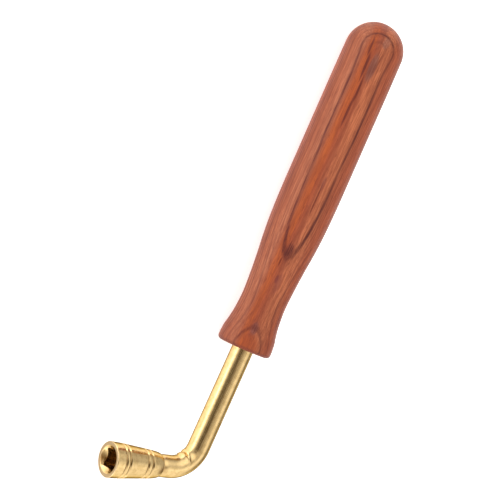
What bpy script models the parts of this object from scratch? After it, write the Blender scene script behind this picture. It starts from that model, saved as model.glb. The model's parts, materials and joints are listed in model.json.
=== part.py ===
"""L-shaped tuning wrench: a turned rosewood handle, a bent steel shank and a square socket.

The centre lines of the shank's two straight runs meet at the corner of the bend, which is the
origin of the design frame: the socket points along -X and the handle lies in the XY plane.
One empty carries every piece. It lays the finished wrench down as it rests on a flat surface,
with the world origin under the middle of its bounding box.
"""
from math import asin, atan, atan2, cos, hypot, pi, radians, sin, tan

import bmesh
import bpy
from mathutils import Matrix, Vector

MM = 0.001
FIT_GAP = 0.3 * MM
MERGE_DISTANCE = 0.001 * MM

# The L: both lengths start at the corner where the centre lines meet.
INTERIOR_ANGLE = radians(101.8)
CORNER_TO_MOUTH = 35.55 * MM
CORNER_TO_HANDLE = 47.45 * MM
BEND_RADIUS = 10.8 * MM
BEND_STEPS = 16

# Shank: 8 mm round bar, upset a little from the neck to the bend, and turned down at both ends.
ROD_RADIUS = 4.0 * MM
NECK_RADIUS = 4.17 * MM
SPIGOT_RADIUS = 2.9 * MM
SPIGOT_LENGTH = 7.1 * MM
TANG_RADIUS = 3.2 * MM
TANG_SHOULDER_DEPTH = 4.0 * MM
TANG_LENGTH = 34.0 * MM
FLUTE_DEPTH = 0.25 * MM
END_CHAMFER = 0.6 * MM
SHANK_SEGMENTS = 32

# Socket: a tapered, turned head. Stations run back from the mouth.
SOCKET_LENGTH = 21.5 * MM
SOCKET_STATIONS = ((5.0, 6.4), (9.4, 5.98), (15.5, 5.42), (18.7, 5.08), (20.9, 4.65))
MOUTH_RADIUS = 6.6 * MM
MOUTH_EDGE_ROUND = 0.35 * MM
RIM_WIDTH = 1.1 * MM
GROOVE_STATIONS = (4.15, 5.85, 14.15, 16.25)
GROOVE_WIDTH = 0.8 * MM
GROOVE_DEPTH = 0.3 * MM
REAR_RADIUS = 4.4 * MM
SQUARE_SIDE = 6.8 * MM
SQUARE_DEPTH = 10.5 * MM
SQUARE_TURN = radians(7.0)
SQUARE_CORNER_ROUND = 1.0 * MM
CORNER_STEPS = 4
CUTTER_OVERRUN = 1.0 * MM
DISH_DEPTH = 1.62 * MM
PILOT_RADIUS = 3.3 * MM
PILOT_DEPTH = 12.0 * MM
DRILL_POINT_ANGLE = radians(118.0)
REAR_BORE_DEPTH = 5.4 * MM
SOCKET_SEGMENTS = 48

# Brazed ring that fills the neck between the socket's rear face and the shank's shoulder.
BRAZE_WIDTH = 1.8 * MM
BRAZE_EDGE_RADIUS = NECK_RADIUS
BRAZE_WAIST_RADIUS = 4.02 * MM
BRAZE_STEPS = 6

# Handle: stations run from the base face, next to the shank, to the start of the dome.
HANDLE_LENGTH = 127.4 * MM
BASE_RADIUS = 10.16 * MM
BASE_EDGE_ROUND = 1.4 * MM
BASE_BAND_END = 4.2 * MM
WAIST_STATION = 18.6 * MM
WAIST_RADIUS = 8.32 * MM
SWELL_STATIONS = ((34.0, 9.28), (48.0, 10.46))
GRIP_RADIUS = 10.8 * MM
GRIP_START = 64.0 * MM
GRIP_END = 106.0 * MM
DOME_RADIUS = 10.74 * MM
BORE_DEPTH = 40.0 * MM
BORE_CHAMFER = 0.4 * MM
HANDLE_SEGMENTS = 48
ARC_STEPS = 8

# Adhesive that bonds the fluted tang into the handle's bore.
ADHESIVE_LENGTH = 30.0 * MM

CORNER_TO_SOCKET = CORNER_TO_MOUTH - SOCKET_LENGTH
BORE_RADIUS = ROD_RADIUS + FIT_GAP
REAR_BORE_RADIUS = SPIGOT_RADIUS + FIT_GAP

ROSEWOOD = {"color": (0.38, 0.11, 0.055), "metallic": 0.0, "roughness": 0.42}
PLATED_STEEL = {"color": (0.83, 0.62, 0.30), "metallic": 1.0, "roughness": 0.2}
PLATED_SOCKET = {"color": (0.86, 0.66, 0.32), "metallic": 1.0, "roughness": 0.18}
BRAZING_BRASS = {"color": (0.70, 0.52, 0.22), "metallic": 1.0, "roughness": 0.3}
AMBER_ADHESIVE = {"color": (0.55, 0.38, 0.15), "metallic": 0.0, "roughness": 0.35}


def clear_scene():
    for item in list(bpy.data.objects):
        bpy.data.objects.remove(item, do_unlink=True)


def make_material(name, finish):
    material = bpy.data.materials.new(name)
    material.use_nodes = True
    shader = material.node_tree.nodes["Principled BSDF"]
    shader.inputs["Base Color"].default_value = (*finish["color"], 1.0)
    shader.inputs["Metallic"].default_value = finish["metallic"]
    shader.inputs["Roughness"].default_value = finish["roughness"]
    return material


def make_object(name, mesh_builder, finish, parent):
    """Turn a finished bmesh into a named object with its own material."""
    mesh = bpy.data.meshes.new(name)
    bmesh.ops.recalc_face_normals(mesh_builder, faces=mesh_builder.faces)
    mesh_builder.to_mesh(mesh)
    mesh_builder.free()
    mesh.shade_smooth()
    mesh.set_sharp_from_angle(angle=radians(35.0))
    piece = bpy.data.objects.new(name, mesh)
    if finish:
        mesh.materials.append(make_material(name + "_finish", finish))
    piece.parent = parent
    bpy.context.collection.objects.link(piece)
    return piece


def in_mm(stations):
    return [(along * MM, radius * MM) for along, radius in stations]


def smooth_outline(stations, steps):
    """Read a monotone cubic through (along, radius) stations, without its last point."""
    slopes = []
    for index in range(len(stations) - 1):
        (start, low), (end, high) = stations[index], stations[index + 1]
        slopes.append((high - low) / (end - start))
    tangents = [0.0]
    for before, after in zip(slopes, slopes[1:]):
        same_way = before * after > 0.0
        tangents.append(2.0 * before * after / (before + after) if same_way else 0.0)
    tangents.append(0.0)
    points = []
    for index in range(len(stations) - 1):
        (start, low), (end, high) = stations[index], stations[index + 1]
        span = end - start
        for step in range(steps):
            t = step / steps
            radius = low * (2 * t**3 - 3 * t**2 + 1) + high * (3 * t**2 - 2 * t**3)
            radius += span * tangents[index] * (t**3 - 2 * t**2 + t)
            radius += span * tangents[index + 1] * (t**3 - t**2)
            points.append((start + span * t, radius))
    return points


def arc_points(centre, radius, start, end, steps):
    """Points of an arc in the (along, radius) plane, both ends included."""
    points = []
    for step in range(steps + 1):
        angle = start + (end - start) * step / steps
        points.append((centre[0] + radius * cos(angle), centre[1] + radius * sin(angle)))
    return points


def drill_point(radius):
    return radius / tan(DRILL_POINT_ANGLE / 2.0)


def spin_outline(outline, origin, direction, segments, closed):
    """Spin an (along, radius) outline about a line in the design frame."""
    across = Vector((0.0, 0.0, 1.0))
    builder = bmesh.new()
    verts = [builder.verts.new(origin + direction * along + across * radius) for along, radius in outline]
    edges = [builder.edges.new(pair) for pair in zip(verts, verts[1:])]
    if closed:
        edges.append(builder.edges.new((verts[-1], verts[0])))
    bmesh.ops.spin(
        builder,
        geom=verts + edges,
        cent=origin,
        axis=direction,
        angle=2.0 * pi,
        steps=segments,
        use_merge=True,
    )
    bmesh.ops.remove_doubles(builder, verts=builder.verts, dist=MERGE_DISTANCE)
    return builder


def socket_outer_radius(along):
    """Radius of the socket's smooth taper, before the grooves are cut."""
    taper = [(0.0, MOUTH_RADIUS)] + in_mm(SOCKET_STATIONS) + [(SOCKET_LENGTH, REAR_RADIUS)]
    for (start, low), (end, high) in zip(taper, taper[1:]):
        if along <= end:
            return low + (high - low) * (along - start) / (end - start)
    return REAR_RADIUS


def socket_outline():
    """Half section from the pilot hole's point, round the outside, to the rear bore's floor."""
    rim_outer = MOUTH_RADIUS - MOUTH_EDGE_ROUND
    rim_inner = rim_outer - RIM_WIDTH
    dish_slope = DISH_DEPTH / (rim_inner - SQUARE_SIDE / 2.0)
    dish_foot = dish_slope * (rim_inner - PILOT_RADIUS)
    outline = [
        (PILOT_DEPTH + drill_point(PILOT_RADIUS), 0.0),
        (PILOT_DEPTH, PILOT_RADIUS),
        (dish_foot, PILOT_RADIUS),
        (0.0, rim_inner),
    ]
    outline += arc_points((MOUTH_EDGE_ROUND, rim_outer), MOUTH_EDGE_ROUND, pi, pi / 2.0, 3)
    marks = [(along * MM, 0.0) for along, _ in SOCKET_STATIONS]
    for centre in GROOVE_STATIONS:
        middle = centre * MM
        marks += [(middle - GROOVE_WIDTH / 2.0, 0.0), (middle, GROOVE_DEPTH), (middle + GROOVE_WIDTH / 2.0, 0.0)]
    outline += [(along, socket_outer_radius(along) - depth) for along, depth in sorted(marks)]
    outline += [
        (SOCKET_LENGTH, REAR_RADIUS),
        (SOCKET_LENGTH, REAR_BORE_RADIUS),
        (SOCKET_LENGTH - REAR_BORE_DEPTH, REAR_BORE_RADIUS),
        (SOCKET_LENGTH - REAR_BORE_DEPTH, 0.0),
    ]
    return outline


def add_square_cut(socket, mouth, parent):
    """Broach the square hole with a Boolean cutter that runs out through the mouth."""
    builder = bmesh.new()
    bmesh.ops.create_cube(builder, size=1.0)
    length = SQUARE_DEPTH + CUTTER_OVERRUN
    bmesh.ops.scale(builder, vec=(length, SQUARE_SIDE, SQUARE_SIDE), verts=builder.verts)
    long_edges = [edge for edge in builder.edges if edge.verts[0].co.x * edge.verts[1].co.x < 0.0]
    bmesh.ops.bevel(builder, geom=long_edges, offset=SQUARE_CORNER_ROUND, segments=CORNER_STEPS, profile=0.5)
    bmesh.ops.rotate(builder, matrix=Matrix.Rotation(SQUARE_TURN, 3, "X"), verts=builder.verts)
    centre = mouth + Vector((SQUARE_DEPTH - length / 2.0, 0.0, 0.0))
    bmesh.ops.translate(builder, vec=centre, verts=builder.verts)
    cutter = make_object("square_broach_cutter", builder, None, parent)
    cutter.display_type = "WIRE"
    cutter.hide_render = True
    cut = socket.modifiers.new("square_hole", "BOOLEAN")
    cut.operation = "DIFFERENCE"
    cut.solver = "EXACT"
    cut.object = cutter


def build_socket(mouth, parent):
    back = Vector((1.0, 0.0, 0.0))
    builder = spin_outline(socket_outline(), mouth, back, SOCKET_SEGMENTS, closed=False)
    socket = make_object("socket", builder, PLATED_SOCKET, parent)
    add_square_cut(socket, mouth, parent)


def build_braze_ring(mouth, parent):
    back = Vector((1.0, 0.0, 0.0))
    start = SOCKET_LENGTH + FIT_GAP
    outline = [(start, REAR_BORE_RADIUS)]
    for step in range(BRAZE_STEPS + 1):
        share = step / BRAZE_STEPS
        hollow = (BRAZE_EDGE_RADIUS - BRAZE_WAIST_RADIUS) * sin(pi * share)
        outline.append((start + BRAZE_WIDTH * share, BRAZE_EDGE_RADIUS - hollow))
    outline.append((start + BRAZE_WIDTH, REAR_BORE_RADIUS))
    builder = spin_outline(outline, mouth, back, SHANK_SEGMENTS, closed=True)
    make_object("braze_ring", builder, BRAZING_BRASS, parent)


def shank_stations(handle_way):
    """(centre, direction, radius, flute depth) of each ring, from the spigot to the tang's end."""
    socket_way = Vector((-1.0, 0.0, 0.0))
    forward = -socket_way
    shoulder = CORNER_TO_SOCKET - 2.0 * FIT_GAP - BRAZE_WIDTH
    spigot_end = shoulder + SPIGOT_LENGTH
    stations = [
        (socket_way * spigot_end, forward, SPIGOT_RADIUS - END_CHAMFER, 0.0),
        (socket_way * (spigot_end - END_CHAMFER), forward, SPIGOT_RADIUS, 0.0),
        (socket_way * shoulder, forward, SPIGOT_RADIUS, 0.0),
        (socket_way * shoulder, forward, NECK_RADIUS, 0.0),
    ]
    turn = pi - INTERIOR_ANGLE
    tangent_length = BEND_RADIUS / tan(INTERIOR_ANGLE / 2.0)
    bend_centre = socket_way * tangent_length + Vector((0.0, BEND_RADIUS, 0.0))
    for step in range(BEND_STEPS + 1):
        share = step / BEND_STEPS
        angle = turn * share
        offset = Vector((sin(angle), -cos(angle), 0.0)) * BEND_RADIUS
        radius = NECK_RADIUS + (ROD_RADIUS - NECK_RADIUS) * share
        stations.append((bend_centre + offset, Vector((cos(angle), sin(angle), 0.0)), radius, 0.0))
    tang_start = CORNER_TO_HANDLE + TANG_SHOULDER_DEPTH
    tang_end = tang_start + TANG_LENGTH
    tang_run = (
        (tang_start, ROD_RADIUS, 0.0),
        (tang_start, TANG_RADIUS, 0.0),
        (tang_start + END_CHAMFER, TANG_RADIUS, FLUTE_DEPTH),
        (tang_end - END_CHAMFER, TANG_RADIUS, FLUTE_DEPTH),
        (tang_end, TANG_RADIUS - END_CHAMFER, 0.0),
    )
    for along, radius, flute in tang_run:
        stations.append((handle_way * along, handle_way, radius, flute))
    return stations


def build_shank(handle_way, parent):
    """Skin the rings into one bar; every second vertex sinks to cut the tang's flutes."""
    upward = Vector((0.0, 0.0, 1.0))
    builder = bmesh.new()
    rings = []
    for centre, forward, radius, flute in shank_stations(handle_way):
        sideways = upward.cross(forward)
        ring = []
        for index in range(SHANK_SEGMENTS):
            angle = 2.0 * pi * index / SHANK_SEGMENTS
            reach = radius - flute * (index % 2)
            spoke = sideways * cos(angle) + upward * sin(angle)
            ring.append(builder.verts.new(centre + spoke * reach))
        rings.append(ring)
    for near, far in zip(rings, rings[1:]):
        for index in range(SHANK_SEGMENTS):
            following = (index + 1) % SHANK_SEGMENTS
            builder.faces.new((near[index], near[following], far[following], far[index]))
    builder.faces.new(rings[0])
    builder.faces.new(rings[-1])
    make_object("shank", builder, PLATED_STEEL, parent)


def handle_outline():
    """Half section from the bore's drill point, round the outside, to the dome's crown."""
    outline = [
        (BORE_DEPTH + drill_point(BORE_RADIUS), 0.0),
        (BORE_DEPTH, BORE_RADIUS),
        (BORE_CHAMFER, BORE_RADIUS),
        (0.0, BORE_RADIUS + BORE_CHAMFER),
    ]
    edge_centre = (BASE_EDGE_ROUND, BASE_RADIUS - BASE_EDGE_ROUND)
    outline += arc_points(edge_centre, BASE_EDGE_ROUND, pi, pi / 2.0, 4)
    cove_run = WAIST_STATION - BASE_BAND_END
    cove_rise = BASE_RADIUS - WAIST_RADIUS
    cove_radius = (cove_run**2 + cove_rise**2) / (2.0 * cove_rise)
    cove_sweep = asin(cove_run / cove_radius)
    cove_centre = (WAIST_STATION, WAIST_RADIUS + cove_radius)
    outline += arc_points(cove_centre, cove_radius, -pi / 2.0 - cove_sweep, -pi / 2.0, ARC_STEPS)[:-1]
    stations = [(WAIST_STATION, WAIST_RADIUS)] + in_mm(SWELL_STATIONS) + [(GRIP_START, GRIP_RADIUS)]
    outline += smooth_outline(stations, ARC_STEPS // 2)
    outline += [(GRIP_START, GRIP_RADIUS), (GRIP_END, GRIP_RADIUS)]
    dome_centre = (HANDLE_LENGTH - DOME_RADIUS, 0.0)
    outline += arc_points(dome_centre, DOME_RADIUS, pi / 2.0, 0.0, ARC_STEPS)
    return outline


def build_handle(handle_way, parent):
    base = handle_way * CORNER_TO_HANDLE
    builder = spin_outline(handle_outline(), base, handle_way, HANDLE_SEGMENTS, closed=False)
    make_object("handle", builder, ROSEWOOD, parent)


def build_adhesive(handle_way, parent):
    base = handle_way * CORNER_TO_HANDLE
    start = TANG_SHOULDER_DEPTH + END_CHAMFER + FIT_GAP
    inner = TANG_RADIUS + FIT_GAP
    outer = BORE_RADIUS - FIT_GAP
    end = start + ADHESIVE_LENGTH
    outline = [(start, inner), (start, outer), (end, outer), (end, inner)]
    builder = spin_outline(outline, base, handle_way, SHANK_SEGMENTS, closed=True)
    make_object("tang_adhesive", builder, AMBER_ADHESIVE, parent)


def rest_rotation():
    """Orientation of the wrench lying on a plane, on the handle's base band, grip and mouth rim."""
    band = CORNER_TO_HANDLE + BASE_BAND_END
    grip = CORNER_TO_HANDLE + GRIP_START
    pitch = atan((GRIP_RADIUS - BASE_RADIUS) / (grip - band))
    corner_height = BASE_RADIUS * cos(pitch) - band * sin(pitch)
    reach = hypot(CORNER_TO_MOUTH, MOUTH_RADIUS)
    dip = asin(corner_height / reach) - atan2(MOUTH_RADIUS, CORNER_TO_MOUTH)
    socket_way = Vector((-cos(dip), 0.0, -sin(dip)))
    across = (-cos(INTERIOR_ANGLE) - sin(pitch) * sin(dip)) / cos(dip)
    along = (1.0 - across**2 - sin(pitch) ** 2) ** 0.5
    handle_way = Vector((across, along, sin(pitch)))
    x_axis = -socket_way
    z_axis = handle_way.cross(socket_way).normalized()
    y_axis = z_axis.cross(x_axis)
    return Matrix((x_axis, y_axis, z_axis)).transposed()


def lay_down(carrier):
    """Turn the wrench to its rest pose and put the origin under its bounding box's middle."""
    carrier.rotation_euler = rest_rotation().to_euler()
    bpy.context.view_layer.update()
    corners = []
    for piece in carrier.children:
        if piece.type == "MESH" and not piece.hide_render:
            corners += [piece.matrix_world @ vertex.co for vertex in piece.data.vertices]
    lowest = Vector([min(corner[axis] for corner in corners) for axis in range(3)])
    highest = Vector([max(corner[axis] for corner in corners) for axis in range(3)])
    middle = (lowest + highest) / 2.0
    carrier.location = (-middle.x, -middle.y, -lowest.z)
    bpy.context.view_layer.update()


def main():
    clear_scene()
    carrier = bpy.data.objects.new("wrench_at_rest", None)
    bpy.context.collection.objects.link(carrier)
    mouth = Vector((-CORNER_TO_MOUTH, 0.0, 0.0))
    lean = INTERIOR_ANGLE - pi / 2.0
    handle_way = Vector((sin(lean), cos(lean), 0.0))
    build_handle(handle_way, carrier)
    build_adhesive(handle_way, carrier)
    build_shank(handle_way, carrier)
    build_braze_ring(mouth, carrier)
    build_socket(mouth, carrier)
    lay_down(carrier)


main()
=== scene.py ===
"""Looks of the tuning wrench: rosewood handle, gold-plated shank and socket, pale floor, soft light.

Shapes are given in millimetres, and MM turns them into metres. A turned piece is an outline of
(distance along its axis, radius) points in a local frame whose Z runs along that axis, and its
material's grain is read in the same frame.
"""

import json
from math import atan2, cos, exp, hypot, pi, radians, sin, sqrt, tan

import bmesh
import bpy
from mathutils import Matrix, Vector
from mathutils.geometry import intersect_line_line


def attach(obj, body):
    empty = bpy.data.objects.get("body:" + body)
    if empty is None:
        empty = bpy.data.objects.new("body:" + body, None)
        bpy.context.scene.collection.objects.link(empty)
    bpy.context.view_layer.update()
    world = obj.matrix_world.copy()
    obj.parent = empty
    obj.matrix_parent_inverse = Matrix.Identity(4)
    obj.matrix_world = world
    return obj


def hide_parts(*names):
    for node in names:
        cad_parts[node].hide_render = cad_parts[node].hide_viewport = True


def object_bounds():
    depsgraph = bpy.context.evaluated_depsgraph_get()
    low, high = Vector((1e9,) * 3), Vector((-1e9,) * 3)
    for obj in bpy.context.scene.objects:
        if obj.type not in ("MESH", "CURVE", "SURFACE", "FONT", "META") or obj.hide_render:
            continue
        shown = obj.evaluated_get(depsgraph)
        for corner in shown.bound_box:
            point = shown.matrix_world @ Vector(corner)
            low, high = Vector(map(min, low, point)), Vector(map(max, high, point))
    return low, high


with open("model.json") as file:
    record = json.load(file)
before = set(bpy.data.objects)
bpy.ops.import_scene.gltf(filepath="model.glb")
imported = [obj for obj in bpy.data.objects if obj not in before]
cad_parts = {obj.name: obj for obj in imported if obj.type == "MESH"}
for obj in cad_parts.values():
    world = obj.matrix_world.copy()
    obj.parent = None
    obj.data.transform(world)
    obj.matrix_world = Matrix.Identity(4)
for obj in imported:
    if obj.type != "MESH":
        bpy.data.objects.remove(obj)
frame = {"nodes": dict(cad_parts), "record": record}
CAD_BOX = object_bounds()
MM = 0.001
BODY = "root"

# Camera: compass angle and height of the view and turn of the picture, in degrees, distance in
# metres, lens in millimetres, and how far the aim is from the middle of the wrench.
VIEW_AZIMUTH = -103.3
VIEW_ELEVATION = 49.0
VIEW_ROLL = 114.5
VIEW_DISTANCE = 2.0
VIEW_LENS = 402.0
AIM_RIGHT = -2.58 * MM
AIM_UP = 0.72 * MM

# Handle outline, from its base face. The bore is modelled only as deep as it can be seen.
HANDLE_LENGTH = 127.4
HANDLE_EDGE_ROUND = 1.5
HANDLE_STATIONS = (
    (2.8, 10.16), (5.6, 9.9), (8.2, 9.34), (12.7, 8.66), (18.6, 8.32), (26.6, 8.68),
    (34.0, 9.27), (41.0, 9.98), (48.0, 10.46), (56.0, 10.72), (64.0, 10.8), (106.0, 10.8),
)
DOME_RADIUS = 10.74
BORE_RADIUS = 4.06
BORE_LIP = 0.35
BORE_SHOWN_DEPTH = 5.0
HANDLE_SPACING = 0.8
HANDLE_SEGMENTS = 160

# Shank: a little thicker from the neck to the bend than beside the handle, which it leaves with
# a slight lean that the bending gave it. It ends just before the bottom of the handle's bore.
ROD_RADIUS = 4.0
NECK_RADIUS = 4.2
BEND_RADIUS = 10.8
BEND_END_RADIUS = 4.1
ROD_LEAN = radians(0.45)
SHANK_END_GAP = 0.5
SHANK_SEGMENTS = 96
STRAIGHT_STEPS = 16
BEND_STEPS = 72

# Socket outline, from its mouth.
SOCKET_STATIONS = (
    (0.4, 6.6), (5.0, 6.4), (9.4, 5.98), (15.5, 5.42), (18.7, 5.08), (20.6, 4.72), (21.1, 4.56),
    (21.3, 4.4),
)
SOCKET_END = 21.4
SOCKET_END_RADIUS = 3.7
SOCKET_SPACING = 0.08
SOCKET_SEGMENTS = 192
MOUTH_EDGE_ROUND = 0.3
RIM_OUTER = SOCKET_STATIONS[0][1] - MOUTH_EDGE_ROUND
RIM_WIDTH = 1.1
RIM_INNER = RIM_OUTER - RIM_WIDTH
RIM_EASE = 0.06
GROOVES = (4.15, 5.85, 14.15, 16.25)
GROOVE_HALF_WIDTH = 0.45
GROOVE_DEPTH = 0.38
# Square hole, which a dish leads into, over a drilled pilot hole with a pointed bottom.
SQUARE_SIDE = 6.8
SQUARE_DEPTH = 10.5
SQUARE_TURN = radians(7.0)
SQUARE_CORNER_ROUND = 1.0
SQUARE_EDGE_EASE = 0.12
SQUARE_END_STEP = 0.05
DISH_DEPTH = 1.62
DISH_SLOPE = DISH_DEPTH / (RIM_INNER - SQUARE_SIDE / 2.0)
PILOT_RADIUS = 3.3
PILOT_DEPTH = 12.0
PILOT_POINT_DEPTH = 1.98

# Outline of the brazed neck behind the socket, from the socket's mouth.
NECK_STATIONS = ((21.25, 4.25), (21.45, 4.02), (21.8, 3.92), (22.3, 4.03), (23.0, 4.16), (23.6, 4.21))
NECK_INNER_RADIUS = 3.0
NECK_OVERLAP = 0.15


# ---- Where the wrench's axes lie, from the CAD model ----

def mount(name):
    """The record's mount of that name."""
    return next(item for item in frame["record"]["mounts"] if item["name"] == name)


def centroid(node):
    """Mean of a CAD node's vertices, which lies on the axis of a turned piece."""
    vertices = frame["nodes"][node].data.vertices
    return sum((vertex.co for vertex in vertices), Vector()) / len(vertices)


def slide_to(point_on_axis, way, target):
    """The point of an axis that is level with the target."""
    return point_on_axis + way * (Vector(target) - point_on_axis).dot(way)


RIM = mount("socket_mouth_rim")
BASE_FACE = mount("handle_base_face")
SOCKET_WAY = Vector(RIM["axis"]).normalized()
HANDLE_WAY = -Vector(BASE_FACE["axis"]).normalized()
PLANE_UP = HANDLE_WAY.cross(SOCKET_WAY).normalized()
MOUTH = slide_to(centroid("braze_ring"), SOCKET_WAY, RIM["pos_m"])
HANDLE_BASE = slide_to(centroid("handle"), HANDLE_WAY, BASE_FACE["pos_m"])
ROD_WAY = Matrix.Rotation(-ROD_LEAN, 3, PLANE_UP) @ HANDLE_WAY
CORNER = intersect_line_line(MOUTH, MOUTH + SOCKET_WAY, HANDLE_BASE, HANDLE_BASE + ROD_WAY)[0]


def local_frame(origin, along, side):
    """Matrix of a frame whose Z is along and whose Y leans towards side."""
    z_axis = along.normalized()
    y_axis = (side - z_axis * side.dot(z_axis)).normalized()
    x_axis = y_axis.cross(z_axis)
    return Matrix.Translation(origin) @ Matrix((x_axis, y_axis, z_axis)).transposed().to_4x4()


# ---- Mesh helpers ----

SHARP_ANGLE = radians(40.0)
POLE_RADIUS = 1e-6


def smooth_outline(stations, spacing):
    """Monotone cubic through (along, radius) stations, read every so many millimetres."""
    slopes = []
    for (start, low), (end, high) in zip(stations, stations[1:]):
        slopes.append((high - low) / (end - start))
    tangents = [slopes[0]]
    for before, after in zip(slopes, slopes[1:]):
        same_way = before * after > 0.0
        tangents.append(2.0 * before * after / (before + after) if same_way else 0.0)
    tangents.append(slopes[-1])
    points = []
    for index, ((start, low), (end, high)) in enumerate(zip(stations, stations[1:])):
        span = end - start
        steps = max(1, round(span / spacing))
        for step in range(steps):
            t = step / steps
            radius = low * (2 * t**3 - 3 * t**2 + 1) + high * (3 * t**2 - 2 * t**3)
            radius += span * tangents[index] * (t**3 - 2 * t**2 + t)
            radius += span * tangents[index + 1] * (t**3 - t**2)
            points.append((start + span * t, radius))
    points.append(stations[-1])
    return points


def arc_points(centre, radius, start, end, steps):
    """Points on an arc from one angle to another, both ends included."""
    points = []
    for step in range(steps + 1):
        angle = start + (end - start) * step / steps
        points.append((centre[0] + radius * cos(angle), centre[1] + radius * sin(angle)))
    return points


def skin(name, rings, matrix, loop_ends=False):
    """Join rings of points, in millimetres, into one closed mesh. A ring of one point is a pole.

    The matrix takes the points to the wrench's place. The attribute "place" keeps each point as
    it was given, so that a material can follow the piece's own axis.
    """
    builder = bmesh.new()
    made = [[builder.verts.new(matrix @ (Vector(point) * MM)) for point in ring] for ring in rings]
    pairs = list(zip(made, made[1:]))
    if loop_ends:
        pairs.append((made[-1], made[0]))
    for near, far in pairs:
        count = max(len(near), len(far))
        for index in range(count):
            following = (index + 1) % count
            corners = [near[index % len(near)], near[following % len(near)]]
            corners += [far[following % len(far)], far[index % len(far)]]
            builder.faces.new(list(dict.fromkeys(corners)))
    if not loop_ends:
        for end in (made[0], made[-1]):
            if len(end) > 1:
                builder.faces.new(end)
    bmesh.ops.recalc_face_normals(builder, faces=builder.faces)
    mesh = bpy.data.meshes.new(name)
    builder.to_mesh(mesh)
    builder.free()
    mesh.shade_smooth()
    mesh.set_sharp_from_angle(angle=SHARP_ANGLE)
    store(mesh, "place", [point for ring in rings for point in ring])
    piece = bpy.data.objects.new(name, mesh)
    bpy.context.scene.collection.objects.link(piece)
    return piece


def store(mesh, name, values):
    """Keep one number, or one vector, for each vertex, for a material to read."""
    flat = isinstance(values[0], float)
    layer = mesh.attributes.new(name, "FLOAT" if flat else "FLOAT_VECTOR", "POINT")
    if flat:
        layer.data.foreach_set("value", values)
    else:
        layer.data.foreach_set("vector", [number for point in values for number in point])


def turned_rings(outline, segments):
    """Rings of a turned outline. A point on the axis makes a pole."""
    rings = []
    for along, radius in outline:
        if radius < POLE_RADIUS:
            rings.append([(0.0, 0.0, along)])
            continue
        angles = [2.0 * pi * index / segments for index in range(segments)]
        rings.append([(radius * cos(angle), radius * sin(angle), along) for angle in angles])
    return rings


def add_piece(piece, node, material):
    """Give a piece its material, and let it stand for its CAD node."""
    piece.data.materials.append(material)
    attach(piece, BODY)
    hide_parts(node)
    return piece


# ---- Node helpers ----

class Nodes:
    """A node tree, with short calls for the nodes that are used here."""

    def __init__(self, tree):
        self.tree = tree

    def feed(self, socket, value):
        """Link a node's output to the socket, or set the socket to a constant."""
        if isinstance(value, bpy.types.NodeSocket):
            self.tree.links.new(value, socket)
        else:
            socket.default_value = value

    def math(self, operation, first, second=0.0, third=0.0):
        node = self.tree.nodes.new("ShaderNodeMath")
        node.operation = operation
        for socket, value in zip(node.inputs, (first, second, third)):
            self.feed(socket, value)
        return node.outputs[0]

    def axes(self, vector):
        node = self.tree.nodes.new("ShaderNodeSeparateXYZ")
        self.feed(node.inputs[0], vector)
        return node.outputs

    def vector(self, x, y, z):
        node = self.tree.nodes.new("ShaderNodeCombineXYZ")
        for socket, value in zip(node.inputs, (x, y, z)):
            self.feed(socket, value)
        return node.outputs[0]

    def span(self, value, low, high, to_low=0.0, to_high=1.0, smooth=True):
        """to_low up to low, to_high from high on, and a smooth or straight change between them."""
        node = self.tree.nodes.new("ShaderNodeMapRange")
        node.interpolation_type = "SMOOTHSTEP" if smooth else "LINEAR"
        for name, number in zip(
            ("Value", "From Min", "From Max", "To Min", "To Max"),
            (value, low, high, to_low, to_high),
        ):
            self.feed(node.inputs[name], number)
        return node.outputs[0]

    def blend(self, share, first, second):
        """The first colour where the share is 0, the second where it is 1."""
        node = self.tree.nodes.new("ShaderNodeMix")
        node.data_type = "RGBA"
        self.feed(node.inputs["Factor"], share)
        first_colour, second_colour = [item for item in node.inputs if item.type == "RGBA"]
        self.feed(first_colour, first)
        self.feed(second_colour, second)
        return next(item for item in node.outputs if item.type == "RGBA")


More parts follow.
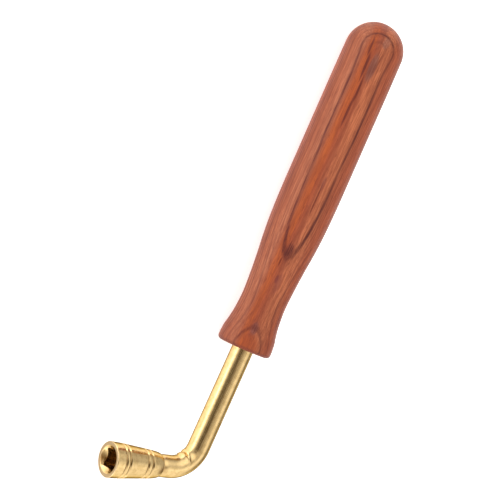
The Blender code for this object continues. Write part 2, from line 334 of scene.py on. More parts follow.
class Shader(Nodes):
    """A material, with calls for what only a piece's surface needs."""

    def __init__(self, name):
        self.material = bpy.data.materials.new(name)
        self.material.use_nodes = True
        super().__init__(self.material.node_tree)
        self.surface = self.tree.nodes["Principled BSDF"]

    def place(self, scale=(1.0, 1.0, 1.0)):
        """The piece's own coordinates, in millimetres, times a scale on each axis."""
        node = self.tree.nodes.new("ShaderNodeAttribute")
        node.attribute_name = "place"
        mapping = self.tree.nodes.new("ShaderNodeMapping")
        mapping.inputs["Scale"].default_value = scale
        self.feed(mapping.inputs["Vector"], node.outputs["Vector"])
        return mapping.outputs[0]

    def position(self, scale):
        """Object coordinates in millimetres, times a scale."""
        coordinates = self.tree.nodes.new("ShaderNodeTexCoord")
        mapping = self.tree.nodes.new("ShaderNodeMapping")
        mapping.inputs["Scale"].default_value = [scale / MM] * 3
        self.feed(mapping.inputs["Vector"], coordinates.outputs["Object"])
        return mapping.outputs[0]

    def attribute(self, name):
        """A number that store() kept for each vertex."""
        node = self.tree.nodes.new("ShaderNodeAttribute")
        node.attribute_name = name
        return node.outputs["Fac"]

    def noise(self, vector, detail=2.0, roughness=0.5, distortion=0.0):
        """Noise from 0 to 1, with about one wave to each unit of the vector."""
        node = self.tree.nodes.new("ShaderNodeTexNoise")
        self.feed(node.inputs["Vector"], vector)
        node.inputs["Scale"].default_value = 1.0
        node.inputs["Detail"].default_value = detail
        node.inputs["Roughness"].default_value = roughness
        node.inputs["Distortion"].default_value = distortion
        return node.outputs["Fac"]

    def ramp(self, value, stops):
        """A colour for each value, read smoothly from (value, colour) stops."""
        low, high = stops[0][0], stops[-1][0]
        node = self.tree.nodes.new("ShaderNodeValToRGB")
        node.color_ramp.interpolation = "EASE"
        elements = node.color_ramp.elements
        while len(elements) < len(stops):
            elements.new(0.5)
        for element, (place, colour) in zip(elements, stops):
            element.position = (place - low) / (high - low)
            element.color = (*colour, 1.0)
        self.feed(node.inputs[0], self.span(value, low, high, smooth=False))
        return node.outputs[0]

    def window(self, value, start, end, fade):
        """1 between start and end, 0 outside, with soft ends."""
        opening = self.span(value, start - fade, start + fade)
        closing = self.span(value, end - fade, end + fade, 1.0, 0.0)
        return self.math("MULTIPLY", opening, closing)

    def spot(self, x, y, centre, half_size):
        """1 in the middle of an oval patch, 0 outside it."""
        reach = 0.0
        for value, middle, half in zip((x, y), centre, half_size):
            share = self.math("DIVIDE", self.math("SUBTRACT", value, middle), half)
            reach = self.math("ADD", self.math("MULTIPLY", share, share), reach)
        return self.span(reach, 0.25, 1.3, 1.0, 0.0)

    def bump(self, height, strength, distance):
        """Raise the surface with the height, by the distance in millimetres at full strength."""
        node = self.tree.nodes.new("ShaderNodeBump")
        node.inputs["Strength"].default_value = strength
        node.inputs["Distance"].default_value = distance * MM
        self.feed(node.inputs["Height"], height)
        self.feed(self.surface.inputs["Normal"], node.outputs[0])


# ---- Rosewood ----

# Turn of the growth layers' facing side round the handle's axis, from the bend plane's normal.
GRAIN_TURN = radians(-30.0)
# A layer shows as a dark line where the handle's surface crosses its depth in the wood:
# (depth towards the facing side, darkness, half width, first and last distance along the handle)
GROWTH_LAYERS = (
    (11.0, 0.4, 0.1, 108.0, 130.0), (9.2, 0.7, 0.17, -9.0, 14.0), (9.62, 1.0, 0.2, 30.0, 130.0),
    (8.55, 0.35, 0.15, 40.0, 95.0), (8.0, 0.3, 0.15, -9.0, 130.0), (7.0, 0.6, 0.17, -9.0, 44.0),
    (6.5, 0.4, 0.17, 30.0, 130.0), (5.5, 0.35, 0.17, -9.0, 130.0), (4.6, 0.8, 0.22, -9.0, 130.0),
    (3.5, 0.6, 0.22, -9.0, 130.0), (2.0, 0.5, 0.25, -9.0, 80.0), (0.7, 0.8, 0.24, -9.0, 130.0),
    (-0.9, 0.5, 0.26, 20.0, 130.0), (-2.2, 0.9, 0.26, -9.0, 130.0), (-3.9, 0.5, 0.3, -9.0, 90.0),
    (-5.0, 0.8, 0.22, -9.0, 130.0), (-6.5, 0.5, 0.26, 30.0, 130.0), (-7.6, 0.9, 0.22, -9.0, 130.0),
    (-8.8, 0.6, 0.2, -9.0, 130.0), (-9.6, 0.9, 0.18, -9.0, 130.0), (-10.5, 0.8, 0.12, 50.0, 110.0),
)
# Widths of a line's full core, of its soft edge and of the faint shade round it, as shares of its
# half width, how dark the shade is beside the line, and how softly a line ends.
LINE_CORE = 0.4
LINE_EDGE = 1.9
SHADE_REACH = 5.0
SHADE_DARKNESS = 0.28
LINE_END_FADE = 2.5
# How far the layers rise: (start, end, rise before, rise after) along the handle. Past the grip
# they also bend over the round end, by so much for each square millimetre.
LAYER_RISES = ((70.0, 86.0, 0.0, 0.23), (0.0, 6.0, 0.5, 0.0))
GRIP_END = 105.0
DOME_BEND = 0.0032
# The wood's colour from one side of the handle to the other, before the dark lines.
SIDE_TINTS = (
    (-10.8, (0.60, 0.165, 0.078)), (-7.2, (0.59, 0.148, 0.066)), (-5.5, (0.55, 0.138, 0.060)),
    (-4.0, (0.62, 0.180, 0.080)), (-3.0, (0.71, 0.218, 0.096)), (-1.0, (0.70, 0.214, 0.096)),
    (0.7, (0.42, 0.110, 0.054)), (1.9, (0.48, 0.112, 0.048)), (3.0, (0.53, 0.118, 0.034)),
    (4.3, (0.52, 0.122, 0.038)), (5.4, (0.47, 0.138, 0.064)), (6.4, (0.54, 0.178, 0.086)),
    (8.9, (0.50, 0.150, 0.068)), (9.6, (0.39, 0.108, 0.047)), (10.2, (0.39, 0.108, 0.050)),
    (11.6, (0.48, 0.140, 0.078)),
)
# How far the tints are shifted across the handle, and how strongly they sway with the layers.
SIDE_TINTS_SHIFT = 0.85
SIDE_TINTS_SWAY = 3.4
# Patches on the facing side: (across, along), (half width, half length), colour, strength.
WOOD_PATCHES = (
    ((0.6, 2.0), (3.6, 4.6), (0.50, 0.105, 0.032), 0.8),
    ((0.9, 8.6), (1.4, 2.6), (0.30, 0.110, 0.095), 0.75),
    ((1.4, 9.2), (0.2, 1.4), (0.16, 0.040, 0.040), 0.7),
    ((0.5, 8.8), (0.2, 1.6), (0.16, 0.040, 0.040), 0.7),
    ((0.9, 28.0), (0.5, 1.8), (0.20, 0.045, 0.045), 0.8),
    ((-0.2, 26.6), (1.1, 4.0), (0.30, 0.085, 0.070), 0.5),
    ((2.2, 34.3), (0.4, 1.9), (0.17, 0.028, 0.010), 0.9),
    ((0.9, 39.5), (1.5, 2.6), (0.20, 0.050, 0.042), 0.55),
    ((1.5, 40.2), (0.25, 2.8), (0.05, 0.012, 0.014), 0.9),
    ((0.85, 39.4), (0.25, 2.6), (0.05, 0.012, 0.014), 0.95),
    ((0.2, 40.0), (0.22, 1.7), (0.05, 0.012, 0.014), 0.9),
    ((-0.34, 60.0), (0.3, 7.0), (0.13, 0.026, 0.018), 0.85),
    ((-0.6, 66.0), (0.7, 3.0), (0.24, 0.070, 0.060), 0.6),
    ((2.0, 93.0), (0.5, 6.5), (0.10, 0.022, 0.022), 0.9),
    ((1.6, 102.0), (0.5, 6.0), (0.11, 0.022, 0.018), 0.9),
    ((2.7, 110.5), (0.5, 6.0), (0.11, 0.024, 0.024), 0.9),
    ((3.6, 118.0), (0.5, 4.0), (0.13, 0.030, 0.024), 0.85),
    ((0.0, 111.0), (1.5, 6.0), (0.30, 0.130, 0.100), 0.8),
    ((-1.3, 121.0), (1.3, 2.5), (0.36, 0.190, 0.150), 0.5),
)
FIBRE_SHADE = (0.26, 0.055, 0.028, 1.0)
VEIN = (0.125, 0.026, 0.020, 1.0)


def layer_sway(wood):
    """How far a layer strays from its plane: a slow wave and a quick one, less their mean."""
    slow = wood.noise(wood.place((0.2, 0.2, 0.03)))
    quick = wood.noise(wood.place((0.8, 0.8, 0.07)), detail=3.0)
    waves = wood.math("ADD", wood.math("MULTIPLY", slow, 0.3), wood.math("MULTIPLY", quick, 0.22))
    return wood.math("SUBTRACT", waves, 0.26)


def layer_depth(wood, depth, along, sway):
    """Which growth layer a point is in, by the depth that the layer has low on the grip."""
    past_grip = wood.math("MAXIMUM", wood.math("SUBTRACT", along, GRIP_END), 0.0)
    rise = wood.math("MULTIPLY", wood.math("MULTIPLY", past_grip, past_grip), DOME_BEND)
    for start, end, before, after in LAYER_RISES:
        rise = wood.math("ADD", rise, wood.span(along, start, end, before, after))
    return wood.math("ADD", wood.math("ADD", depth, sway), rise)


def growth_lines(wood, layer, along):
    """Darkness of the growth lines: a narrow line with a wide, faint shade round it."""
    lines = 0.0
    for depth, darkness, half_width, start, end in GROWTH_LAYERS:
        away = wood.math("ABSOLUTE", wood.math("SUBTRACT", layer, depth))
        line = wood.span(away, half_width * LINE_CORE, half_width * LINE_EDGE, darkness, 0.0)
        shade = wood.span(away, 0.0, half_width * SHADE_REACH, darkness * SHADE_DARKNESS, 0.0)
        both = wood.math("MAXIMUM", line, shade)
        if start > 0.0 or end < HANDLE_LENGTH:
            both = wood.math("MULTIPLY", both, wood.window(along, start, end, LINE_END_FADE))
        lines = wood.math("MAXIMUM", both, lines)
    fading = wood.noise(wood.place((0.4, 0.4, 0.05)), distortion=0.3)
    return wood.math("MULTIPLY", lines, wood.span(fading, 0.3, 0.55, 0.72, 1.0))


def rosewood():
    wood = Shader("rosewood_lacquered")
    across, depth, along = wood.axes(wood.place())
    sway = layer_sway(wood)
    lines = growth_lines(wood, layer_depth(wood, depth, along, sway), along)

    side = wood.math("MULTIPLY_ADD", sway, SIDE_TINTS_SWAY, wood.math("ADD", across, SIDE_TINTS_SHIFT))
    colour = wood.ramp(side, SIDE_TINTS)
    facing = wood.span(depth, 2.0, 5.0)
    for centre, half_size, tint, strength in WOOD_PATCHES:
        patch = wood.math("MULTIPLY", wood.spot(side, along, centre, half_size), facing)
        colour = wood.blend(wood.math("MULTIPLY", patch, strength), colour, (*tint, 1.0))

    # Coarse and fine fibres darken the wood, and the fine ones break up the growth lines.
    fibres = wood.noise(wood.place((1.3, 1.3, 0.09)), detail=4.0, roughness=0.7)
    colour = wood.blend(wood.span(fibres, 0.38, 0.62, 0.46, 0.0), colour, FIBRE_SHADE)
    fine_fibres = wood.noise(wood.place((3.0, 3.0, 0.12)), detail=3.0, roughness=0.6)
    colour = wood.blend(wood.span(fine_fibres, 0.36, 0.6, 0.34, 0.0), colour, FIBRE_SHADE)
    broken = wood.span(fine_fibres, 0.38, 0.58, 1.0, 0.72)
    colour = wood.blend(wood.math("MULTIPLY", lines, broken), colour, VEIN)

    # The flare is a little darker, and the rounded edge of its base face is darkened with painted
    # shade.
    colour = wood.blend(wood.span(along, 8.0, 30.0, 0.14, 0.0), colour, FIBRE_SHADE)
    colour = wood.blend(wood.span(along, 0.6, 1.7, 0.5, 0.0), colour, VEIN)

    # Dark pores, which are pits in the surface too.
    pores = wood.noise(wood.place((2.6, 2.6, 0.33)), detail=3.0, roughness=0.6)
    pore_mask = wood.span(pores, 0.55, 0.7, 0.0, 0.4)
    colour = wood.blend(pore_mask, colour, VEIN)

    wood.feed(wood.surface.inputs["Base Color"], colour)
    wood.feed(wood.surface.inputs["Roughness"], wood.span(fine_fibres, 0.3, 0.7, 0.55, 0.42))
    wood.surface.inputs["Specular IOR Level"].default_value = 0.2
    wood.bump(wood.math("SUBTRACT", fine_fibres, wood.math("MULTIPLY", pore_mask, 0.8)), 0.2, 0.04)
    return wood.material


def handle_outline():
    """Outline from the bottom of the bore, over the base face and the grip, to the round end."""
    base_radius = HANDLE_STATIONS[0][1]
    edge = HANDLE_EDGE_ROUND
    outline = [(BORE_SHOWN_DEPTH, 0.0), (BORE_SHOWN_DEPTH, BORE_RADIUS)]
    outline += arc_points((BORE_LIP, BORE_RADIUS + BORE_LIP), BORE_LIP, -pi / 2.0, -pi, steps=5)
    outline += arc_points((edge, base_radius - edge), edge, pi, pi / 2.0, steps=10)
    outline += smooth_outline(HANDLE_STATIONS, HANDLE_SPACING)
    outline += arc_points((HANDLE_LENGTH - DOME_RADIUS, 0.0), DOME_RADIUS, pi / 2.0, 0.0, steps=40)
    return outline


def make_handle():
    facing = Matrix.Rotation(GRAIN_TURN, 3, HANDLE_WAY) @ PLANE_UP
    rings = turned_rings(handle_outline(), HANDLE_SEGMENTS)
    piece = skin("handle_rosewood", rings, local_frame(HANDLE_BASE, HANDLE_WAY, facing))
    return add_piece(piece, "handle", rosewood())


# ---- Gold-coloured plating ----

GOLD = (0.90, 0.645, 0.305, 1.0)
STAIN_FADE = (0.86, 0.83, 0.77, 1.0)
STAINED_GOLD = tuple(share * fade for share, fade in zip(GOLD, STAIN_FADE))
# Colours that the stored attributes blend in: a dark one for painted shade, with a little dirt on the
# braze, and a dull one for the bare hole and for painted shade on the rim and the neck patch.
SHADE_AND_DIRT_COLOUR = (0.42, 0.22, 0.07, 1.0)
WEAR_AND_SHADE_COLOUR = (0.46, 0.33, 0.19, 1.0)
# Draw marks run along the shank. Turning marks run round the socket and the neck.
# The numbers say how quickly the marks change (around, along) the piece, per millimetre.
DRAW_MARKS = (2.5, 0.06)
TURNING_MARKS = (0.1, 5.0)
NECK_MARKS = (0.1, 2.0)


def plating(name, marks_per_mm, roughness):
    """Polished plating with fine marks, faint waves and stains.

    The stored wear and darkness attributes say how bare and how dark it is at each point. The darkness
    is painted shade, with a little dirt on the braze, and the rim and the neck patch are dulled as
    painted shade.
    """
    metal = Shader(name)
    metal.surface.inputs["Metallic"].default_value = 1.0
    # A dark edge tint keeps the metal from turning white where it is seen at a glancing angle.
    metal.surface.inputs["Specular Tint"].default_value = (0.0, 0.0, 0.0, 1.0)
    mark_around = metal.math("MULTIPLY", metal.attribute("around"), marks_per_mm[0])
    mark_along = metal.math("MULTIPLY", metal.attribute("along"), marks_per_mm[1])
    marks = metal.noise(metal.vector(mark_around, mark_along, 0.0), detail=3.0, roughness=0.6)
    waves = metal.noise(metal.place((0.35, 0.35, 0.35)))
    stain = metal.noise(metal.place((0.6, 0.6, 0.6)), detail=3.0)
    tint = metal.blend(metal.span(stain, 0.42, 0.7), GOLD, STAINED_GOLD)
    tint = metal.blend(metal.attribute("wear_and_shade"), tint, WEAR_AND_SHADE_COLOUR)
    tint = metal.blend(metal.attribute("shade_and_dirt"), tint, SHADE_AND_DIRT_COLOUR)
    metal.feed(metal.surface.inputs["Base Color"], tint)
    gloss = metal.span(marks, 0.3, 0.7, roughness * 0.75, roughness * 1.35)
    metal.feed(metal.surface.inputs["Roughness"], gloss)
    metal.bump(metal.math("MULTIPLY_ADD", waves, 6.0, marks), 0.1, 0.02)
    return metal.material


def store_plating(mesh, along, around, shade_and_dirt, wear_and_shade):
    """Keep for each vertex what the plating reads."""
    store(mesh, "along", along)
    store(mesh, "around", around)
    store(mesh, "shade_and_dirt", shade_and_dirt)
    store(mesh, "wear_and_shade", wear_and_shade)


# ---- Shank ----

# Marks that the bending left on the bar: (share of the bend, height, half width as a share).
BEND_RIPPLES = (
    (0.24, -0.06, 0.07), (0.45, 0.26, 0.075), (0.56, -0.42, 0.024), (0.66, 0.3, 0.07),
    (0.80, -0.06, 0.06),
)
# How far the marks slant, how far past the bar's side they reach, and how quickly they fade there.
RIPPLE_SLANT = 0.12
RIPPLE_REACH = 0.25
RIPPLE_FADE = 1.6
# Halfway round the bend, the radius across the bend's plane exceeds the radius in it by so much.
BEND_FLATTENING = 0.12


def wrinkle(bend_share, inward):
    """What the bending adds to the bar's radius. Inward is 1 inside the bend, -1 outside it."""
    if bend_share in (0.0, 1.0):
        return 0.0
    inside = (max(0.0, inward + RIPPLE_REACH) / (1.0 + RIPPLE_REACH)) ** RIPPLE_FADE
    place = bend_share + RIPPLE_SLANT * (1.0 - inward)
    ripple = 0.0
    for centre, height, half_width in BEND_RIPPLES:
        ripple += height * exp(-((place - centre) / half_width) ** 2)
    flattening = BEND_FLATTENING * (0.5 - inward**2) * sin(pi * bend_share) ** 2
    return ripple * inside + flattening


def shank_stations():
    """Places along the bar, from the neck to inside the handle's bore.

    Each has its centre, from the corner of the bend, its forward and inward directions, the
    share of the bend that lies behind it, and its radius.
    """
    forward_in = -SOCKET_WAY
    turn = forward_in.angle(ROD_WAY)
    tangent_length = BEND_RADIUS * tan(turn / 2.0)
    inward_in = (ROD_WAY - forward_in * ROD_WAY.dot(forward_in)).normalized()
    bend_centre = SOCKET_WAY * tangent_length + inward_in * BEND_RADIUS
    handle_start = (HANDLE_BASE - CORNER).length / MM
    neck = (MOUTH - CORNER).length / MM - NECK_STATIONS[-1][0] + NECK_OVERLAP
    stations = []
    for step in range(STRAIGHT_STEPS):
        back = neck + (tangent_length - neck) * step / STRAIGHT_STEPS
        stations.append((SOCKET_WAY * back, forward_in, inward_in, 0.0, NECK_RADIUS))
    for step in range(BEND_STEPS + 1):
        share = step / BEND_STEPS
        angle = turn * share
        inward = inward_in * cos(angle) - forward_in * sin(angle)
        forward = forward_in * cos(angle) + inward_in * sin(angle)
        radius = NECK_RADIUS + (BEND_END_RADIUS - NECK_RADIUS) * share
        stations.append((bend_centre - inward * BEND_RADIUS, forward, inward, share, radius))
    inward_out = inward_in * cos(turn) - forward_in * sin(turn)
    reach = handle_start + BORE_SHOWN_DEPTH - SHANK_END_GAP
    for step in range(1, STRAIGHT_STEPS + 1):
        out = tangent_length + (reach - tangent_length) * step / STRAIGHT_STEPS
        radius = BEND_END_RADIUS + (ROD_RADIUS - BEND_END_RADIUS) * step / STRAIGHT_STEPS
        stations.append((ROD_WAY * out, ROD_WAY, inward_out, 1.0, radius))
    return stations


def shank_rings():
    """Rings of points from the corner of the bend, and how far along and around each point is."""
    stations = shank_stations()
    rings, along, around = [], [], []
    travelled, last = 0.0, stations[0][0]
    for centre, forward, inward, bend_share, bar_radius in stations:
        travelled += (centre - last).length
        last = centre
        sideways = forward.cross(inward)
        ring = []
        for index in range(SHANK_SEGMENTS):
            angle = 2.0 * pi * index / SHANK_SEGMENTS
            radius = bar_radius + wrinkle(bend_share, cos(angle))
            ring.append(centre + (inward * cos(angle) + sideways * sin(angle)) * radius)
            along.append(travelled)
            around.append(abs(index / SHANK_SEGMENTS - 0.5) * 2.0 * pi * ROD_RADIUS)
        rings.append(ring)
    return rings, along, around


def make_shank(material):
    rings, along, around = shank_rings()
    piece = skin("shank_bar", rings, Matrix.Translation(CORNER))
    clean = [0.0] * len(along)
    store_plating(piece.data, along, around, shade_and_dirt=clean, wear_and_shade=clean)
    return add_piece(piece, "shank", material)


# ---- Socket and neck ----

# Painted shade in the dish, for its shaded and darkly reflecting parts: (angle, half angle, strength),
# in degrees round the socket's axis.
DISH_PAINTED_SHADE = ((-97.0, 24.0, 1.0), (35.0, 32.0, 0.6))
DISH_PAINTED_SHADE_DEPTH = 1.3 * DISH_DEPTH
# Painted shade in the grooves, darkest at their roots.
GROOVE_PAINTED_SHADE = 0.4
# Depth of the rim face, which is dulled with painted shade for the shadowed floor it reflects.
RIM_FACE_DEPTH = 0.05
# The hole isn't plated: how bare it is, and where along the socket that starts and is full.
HOLE_WEAR = 0.55
HOLE_WEAR_START = 1.6
HOLE_WEAR_FULL = 3.6
# An oval patch of painted shade on one side of the neck, for the shaded waist behind the socket.
NECK_SHADE_ANGLE = radians(98.0)
NECK_SHADE_HALF_ANGLE = radians(17.0)
NECK_SHADE_ALONG = 21.0
NECK_SHADE_HALF_LENGTH = 1.6
# How dark and how dull the painted shade makes the patch.
NECK_SHADE_DARKNESS = 0.55
NECK_SHADE_DULLING = 0.4
NECK_DIRT = 0.08


def square_radius(angle):
    """Distance from the axis to the wall of the square hole with its rounded corners."""
    half_side = SQUARE_SIDE / 2.0
    off_corner = abs((angle - SQUARE_TURN) % (pi / 2.0) - pi / 4.0)
    flat_end = half_side - SQUARE_CORNER_ROUND
    if pi / 4.0 - off_corner < atan2(flat_end, half_side):
        return half_side / cos(pi / 4.0 - off_corner)
    centre = flat_end * sqrt(2.0)
    return centre * cos(off_corner) + sqrt(SQUARE_CORNER_ROUND**2 - (centre * sin(off_corner)) ** 2)


def groove_depth(along):
    """Depth of the V grooves, whose roots are slightly rounded, and 0 beside them."""
    deepest = 0.0
    for centre in GROOVES:
        share = abs(along - centre) / GROOVE_HALF_WIDTH
        deepest = max(deepest, GROOVE_DEPTH * (1.14 - sqrt(share**2 + 0.02)))
    return deepest


def socket_rings():
    """Rings from the drill point of the pilot hole, out through the mouth, to the rear end."""
    angles = [SQUARE_TURN + 2.0 * pi * index / SOCKET_SEGMENTS for index in range(SOCKET_SEGMENTS)]

    def ring(place):
        """A ring from a function that gives (along, radius) at each angle."""
        points = []
        for angle in angles:
            along, radius = place(angle)
            points.append((radius * cos(angle), radius * sin(angle), along))
        return points

    def round_ring(along, radius):
        return ring(lambda angle: (along, radius))

    def wall(along):
        return ring(lambda angle: (along, square_radius(angle)))

    def square_edge(drop, spread):
        """Part of the eased edge between the square hole and the dish."""
        def place(angle):
            radius = square_radius(angle) + SQUARE_EDGE_EASE * spread
            return DISH_SLOPE * (RIM_INNER - radius) + SQUARE_EDGE_EASE * drop, radius
        return ring(place)

    def dish(share):
        """The dish, from its edge at the square hole, 0, to the rim, 1."""
        def place(angle):
            foot = square_radius(angle) + SQUARE_EDGE_EASE
            radius = foot + (RIM_INNER - RIM_EASE - foot) * share
            return DISH_SLOPE * (RIM_INNER - radius), radius
        return ring(place)

    rings = [[(0.0, 0.0, PILOT_DEPTH + PILOT_POINT_DEPTH)]]
    rings.append(round_ring(PILOT_DEPTH, PILOT_RADIUS))
    rings.append(round_ring(SQUARE_DEPTH + SQUARE_END_STEP, PILOT_RADIUS))
    rings += [wall(SQUARE_DEPTH * share) for share in (1.0, 0.8, 0.6, 0.45, 0.32)]
    rings += [square_edge(1.3, 0.0), square_edge(0.45, 0.2)]
    rings += [dish(share) for share in (0.0, 0.25, 0.5, 0.75)]
    outline = [(DISH_SLOPE * RIM_EASE, RIM_INNER - RIM_EASE), (0.0, RIM_INNER + RIM_EASE)]
    centre = (MOUTH_EDGE_ROUND, RIM_OUTER)
    outline += arc_points(centre, MOUTH_EDGE_ROUND, pi, pi / 2.0 + 0.1, steps=6)
    for along, radius in smooth_outline(SOCKET_STATIONS, SOCKET_SPACING):
        outline.append((along, radius - groove_depth(along)))
    outline.append((SOCKET_END, SOCKET_END_RADIUS))
    rings += [round_ring(along, radius) for along, radius in outline]
    rings.append([(0.0, 0.0, SOCKET_END)])
    return rings


def neck_painted_shade(x, y, z):
    """1 in the middle of the painted shade patch on the neck, fading to 0 round it."""
    across = (atan2(y, x) - NECK_SHADE_ANGLE) / NECK_SHADE_HALF_ANGLE
    along = (z - NECK_SHADE_ALONG) / NECK_SHADE_HALF_LENGTH
    return exp(-across**2 - along**2)


def in_hole(x, y, z):
    """Whether a point is inside the circle round the square hole, as deep as the pilot hole."""
    return z < PILOT_DEPTH + PILOT_RADIUS and hypot(x, y) < SQUARE_SIDE / sqrt(2.0)


def dish_painted_shade(x, y, z):
    """Painted shade in two parts of the dish that leads into the square hole."""
    if z > DISH_PAINTED_SHADE_DEPTH or hypot(x, y) > RIM_INNER:
        return 0.0
    dish_shade = 0.0
    for middle, half_angle, strength in DISH_PAINTED_SHADE:
        dish_shade += strength * exp(-((atan2(y, x) - radians(middle)) / radians(half_angle)) ** 2)
    return min(1.0, dish_shade)


def socket_painted_shade(x, y, z):
    """How dark a point of the socket is, with painted shade in the grooves, in the dish and on the
    neck.
    """
    dish_shade = dish_painted_shade(x, y, z)
    if in_hole(x, y, z):
        return dish_shade
    groove_shade = GROOVE_PAINTED_SHADE * groove_depth(z) / GROOVE_DEPTH
    return max(dish_shade, groove_shade, NECK_SHADE_DARKNESS * neck_painted_shade(x, y, z))


def socket_wear_and_shade(x, y, z):
    """How bare a point of the socket is in the hole, and how dulled it is by painted shade on the rim
    face and on the neck.
    """
    if in_hole(x, y, z):
        share = (z - HOLE_WEAR_START) / (HOLE_WEAR_FULL - HOLE_WEAR_START)
        return HOLE_WEAR * min(1.0, max(0.0, share))
    on_rim = z < RIM_FACE_DEPTH and hypot(x, y) > SQUARE_SIDE / 2.0
    return 1.0 if on_rim else NECK_SHADE_DULLING * neck_painted_shade(x, y, z)


# The braze fillet has a little dirt all over, and painted shade in the oval patch.
def neck_dirt_and_shade(x, y, z):
    return NECK_DIRT + NECK_SHADE_DARKNESS * neck_painted_shade(x, y, z)


# How dull the painted shade makes the braze fillet's patch.
def neck_shade_dulling(x, y, z):
    return NECK_SHADE_DULLING * neck_painted_shade(x, y, z)


def store_turned_plating(piece, rings, shade_and_dirt, wear_and_shade):
    """Store the plating of a turned piece, from the functions of a point given here."""
    points = [point for ring in rings for point in ring]
    store_plating(
        piece.data,
        along=[point[2] for point in points],
        around=[0.0] * len(points),
        shade_and_dirt=[shade_and_dirt(*point) for point in points],
        wear_and_shade=[wear_and_shade(*point) for point in points],
    )


def make_socket(material):
    rings = socket_rings()
    piece = skin("socket_head", rings, local_frame(MOUTH, -SOCKET_WAY, PLANE_UP))
    store_turned_plating(piece, rings, socket_painted_shade, socket_wear_and_shade)
    return add_piece(piece, "socket", material)


def make_braze(material):
    outline = [(NECK_STATIONS[0][0], NECK_INNER_RADIUS)]
    outline += smooth_outline(NECK_STATIONS, SOCKET_SPACING)
    outline.append((NECK_STATIONS[-1][0], NECK_INNER_RADIUS))
    rings = turned_rings(outline, SHANK_SEGMENTS)
    piece = skin("braze_fillet", rings, local_frame(MOUTH, -SOCKET_WAY, PLANE_UP), loop_ends=True)
    store_turned_plating(piece, rings, neck_dirt_and_shade, neck_shade_dulling)
    return add_piece(piece, "braze_ring", material)


# ---- Adhesive, hidden in the handle: it keeps its CAD solid ----

def dress_adhesive():
    glue = Shader("amber_epoxy")
    cloud = glue.noise(glue.position(0.8), detail=3.0)
    tint = glue.blend(cloud, (0.55, 0.36, 0.12, 1.0), (0.42, 0.25, 0.07, 1.0))
    glue.feed(glue.surface.inputs["Base Color"], tint)
    glue.surface.inputs["Roughness"].default_value = 0.3
    glue.bump(cloud, 0.2, 0.05)
    node = frame["nodes"]["tang_adhesive"]
    node.data.materials.clear()
    node.data.materials.append(glue.material)


# ---- Stage ----

def compass(azimuth, elevation):
    """Direction with azimuth 0 towards -Y and 90 towards +X, in degrees."""
    turn, rise = radians(azimuth), radians(elevation)
    return Vector((sin(turn) * cos(rise), -cos(turn) * cos(rise), sin(rise)))


def view_axes():
    """Right, up and backward directions of the camera."""
    back = compass(VIEW_AZIMUTH, VIEW_ELEVATION)
    level = Vector((0.0, 0.0, 1.0)).cross(back).normalized()
    upright = back.cross(level)
    roll = radians(VIEW_ROLL)
    right = level * cos(roll) + upright * sin(roll)
    return right, back.cross(right), back


def make_camera():
    right, up, back = view_axes()
    target = (CAD_BOX[0] + CAD_BOX[1]) / 2.0 + right * AIM_RIGHT + up * AIM_UP
    data = bpy.data.cameras.new("camera")
    data.lens = VIEW_LENS
    data.clip_start = 0.05
    data.clip_end = 20.0
    camera = bpy.data.objects.new("camera", data)
    bpy.context.scene.collection.objects.link(camera)
    rotation = Matrix((right, up, back)).transposed()
    camera.matrix_world = Matrix.Translation(target + back * VIEW_DISTANCE) @ rotation.to_4x4()
    bpy.context.scene.camera = camera


# Floor, half its size in metres. It glows like a light table, and more strongly on one side of
# the wrench: which way, where that starts and is full, in millimetres, and by how much.
FLOOR_HALF_SIZE = 3.0
FLOOR_GLOW = 0.76
SIDE_GLOW_WAY = (-0.99, 0.14)
SIDE_GLOW_START = 28.0
SIDE_GLOW_FULL = 64.0
SIDE_GLOW = 1.75


def make_floor():
    half = FLOOR_HALF_SIZE
    mesh = bpy.data.meshes.new("floor")
    corners = [(-half, -half, 0.0), (half, -half, 0.0), (half, half, 0.0), (-half, half, 0.0)]
    mesh.from_pydata(corners, [], [(0, 1, 2, 3)])
    floor = bpy.data.objects.new("floor", mesh)
    bpy.context.scene.collection.objects.link(floor)
    paper = Shader("pale_floor")
    paper.surface.inputs["Base Color"].default_value = (0.9, 0.9, 0.9, 1.0)
    paper.surface.inputs["Roughness"].default_value = 0.9
    paper.surface.inputs["Specular IOR Level"].default_value = 0.0
    paper.surface.inputs["Emission Color"].default_value = (1.0, 1.0, 1.0, 1.0)
    x, y, _ = paper.axes(paper.position(1.0))
    way_x, way_y = SIDE_GLOW_WAY
    reach = paper.math("ADD", paper.math("MULTIPLY", x, way_x), paper.math("MULTIPLY", y, way_y))
    glow = paper.span(reach, SIDE_GLOW_START, SIDE_GLOW_FULL, FLOOR_GLOW, FLOOR_GLOW + SIDE_GLOW)
    paper.feed(paper.surface.inputs["Emission Strength"], glow)
    floor.data.materials.append(paper.material)


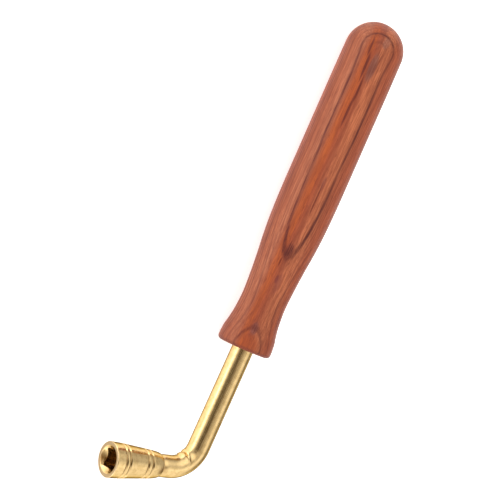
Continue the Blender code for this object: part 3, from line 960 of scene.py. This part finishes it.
# Light tent: soft bright panels and dim openings, as (azimuth, elevation, inner angle,
# outer angle, radiance) in degrees; an opening's last number is the share of light left.
TENT_COLOUR = (1.0, 0.985, 0.96, 1.0)
OPENING_COLOUR = (1.0, 0.80, 0.54, 1.0)
TENT_RADIANCE = 0.5
TENT_PANELS = (
    (178.0, 49.0, 6.0, 42.0, 0.85), (3.0, 29.0, 32.0, 65.0, 0.68), (79.0, 53.0, 3.0, 24.0, 0.44),
    (-98.0, -2.0, 3.0, 26.0, 1.0),
)
TENT_OPENINGS = (
    (-99.0, 42.0, 9.0, 24.0, 0.29), (-98.0, 63.0, 5.0, 22.0, 0.45), (66.0, 14.0, 3.0, 21.0, 0.4),
    (0.0, 90.0, 6.0, 26.0, 0.84),
)


def make_tent():
    world = bpy.data.worlds.new("light_tent")
    world.use_nodes = True
    tent = Nodes(world.node_tree)
    background = tent.tree.nodes["Background"]
    way = tent.tree.nodes.new("ShaderNodeTexCoord").outputs["Generated"]

    def patch(azimuth, elevation, inner, outer, centre, outside):
        """A round patch of the tent: one value at its centre, another outside it."""
        dot = tent.tree.nodes.new("ShaderNodeVectorMath")
        dot.operation = "DOT_PRODUCT"
        tent.feed(dot.inputs[0], way)
        tent.feed(dot.inputs[1], compass(azimuth, elevation))
        edge, core = cos(radians(outer)), cos(radians(inner))
        return tent.span(dot.outputs["Value"], edge, core, outside, centre)

    light = TENT_RADIANCE
    for azimuth, elevation, inner, outer, radiance in TENT_PANELS:
        light = tent.math("ADD", patch(azimuth, elevation, inner, outer, radiance, 0.0), light)
    dimming = 1.0
    for azimuth, elevation, inner, outer, share in TENT_OPENINGS:
        dimming = tent.math("MULTIPLY", patch(azimuth, elevation, inner, outer, share, 1.0), dimming)
    tent.feed(background.inputs["Strength"], tent.math("MULTIPLY", light, dimming))
    tent.feed(background.inputs["Color"], tent.blend(dimming, OPENING_COLOUR, TENT_COLOUR))
    bpy.context.scene.world = world
    bpy.context.scene.view_settings.view_transform = "Standard"


make_handle()
make_shank(plating("plated_shank", DRAW_MARKS, roughness=0.22))
make_socket(plating("plated_socket", TURNING_MARKS, roughness=0.2))
make_braze(plating("plated_braze", NECK_MARKS, roughness=0.22))
dress_adhesive()
make_floor()
make_tent()
make_camera()
